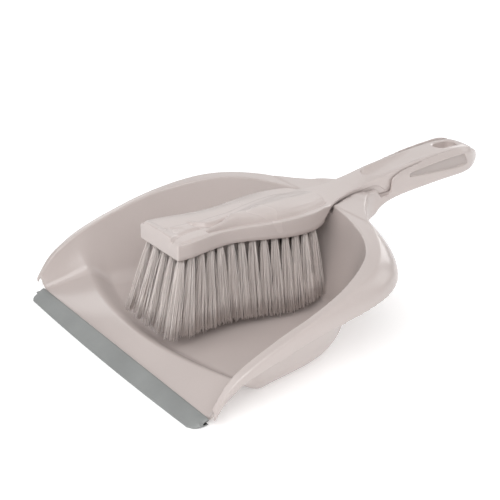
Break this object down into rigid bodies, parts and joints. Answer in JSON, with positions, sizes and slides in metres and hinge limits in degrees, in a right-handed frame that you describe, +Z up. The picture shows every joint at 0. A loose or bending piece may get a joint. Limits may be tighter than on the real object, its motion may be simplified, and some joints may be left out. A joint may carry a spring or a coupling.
{
  "type": "dustpan and brush set",
  "caption": "Deep dustpan with a rubber lip and a hollow trough handle, and a hand brush whose handle nests in the trough and lifts off.",
  "frame": {"origin": "on the ground, in the middle of the outline seen from above", "axes": "the lip faces -Y and the handles point to +Y, +X runs across the pan, +Z is up"},
  "size_m": [0.2416, 0.342, 0.0895],
  "materials": {
    "pan_plastic": "smooth glossy moulded",
    "lip_rubber": "satin soft rubber",
    "brush_plastic": "smooth glossy moulded",
    "bristle": "split synthetic filaments",
    "anchor_wire": "flat drawn wire"
  },
  "bodies": {
    "pan": {"dustpan": "pan_plastic", "lip_strip": "lip_rubber"},
    "brush": {"brush_body": "brush_plastic", "tufts_left_outer": "bristle", "tufts_left_inner": "bristle", "tufts_middle": "bristle", "tufts_right_inner": "bristle", "tufts_right_outer": "bristle", "anchors_left_outer": "anchor_wire", "anchors_left_inner": "anchor_wire", "anchors_middle": "anchor_wire", "anchors_right_inner": "anchor_wire", "anchors_right_outer": "anchor_wire"}
  },
  "joints": [
    {"name": "brush_lift", "type": "slide", "parent": "pan", "child": "brush", "axis": [0, 0, 1], "range_m": [0, 0.13]}
  ]
}
